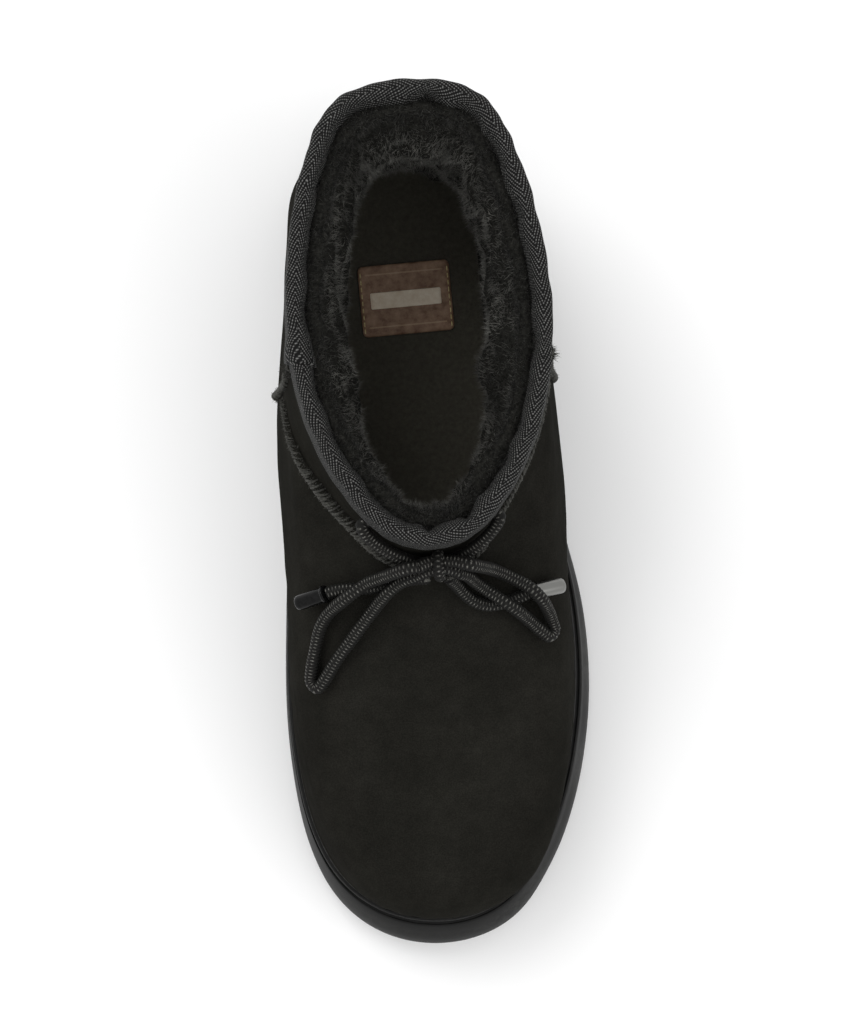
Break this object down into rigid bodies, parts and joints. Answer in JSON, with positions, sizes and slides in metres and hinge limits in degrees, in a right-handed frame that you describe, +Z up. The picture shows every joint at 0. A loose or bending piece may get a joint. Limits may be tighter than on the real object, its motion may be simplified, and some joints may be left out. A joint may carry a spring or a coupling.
{
  "type": "sheepskin ankle boot",
  "caption": "Left ankle boot with a suede upper, deep wool lining, woven collar binding, moulded rubber sole and a cord tied in a bow.",
  "frame": {"origin": "centre of the bounding box at the floor", "axes": "+Z up, +X towards the outer side of the left foot, -Y towards the toe"},
  "size_m": [0.102, 0.2747, 0.1317],
  "materials": {
    "sole_rubber": "satin blue-black moulded rubber",
    "suede": "warm near-black brushed suede",
    "wool": "dense black wool pile with a grey sheen",
    "insole_felt": "black short pile",
    "label_leather": "brown smooth leather",
    "binding_tape": "black herringbone tape with grey flecks",
    "lace_cord": "black braided cord",
    "aglet_metal": "polished dark metal"
  },
  "bodies": {
    "root": {"sole": "sole_rubber", "upper": "suede", "lining": "wool", "insole": "insole_felt", "insole_label": "label_leather", "collar_binding": "binding_tape", "side_seam_medial": "suede", "side_seam_lateral": "suede", "vamp_seam": "suede", "lace_bar": "lace_cord", "lace_knot": "lace_cord", "lace_loop_medial": "lace_cord", "lace_loop_lateral": "lace_cord", "lace_end_medial": "lace_cord", "lace_end_lateral": "lace_cord", "aglet_medial": "aglet_metal", "aglet_lateral": "aglet_metal"}
  },
  "joints": []
}
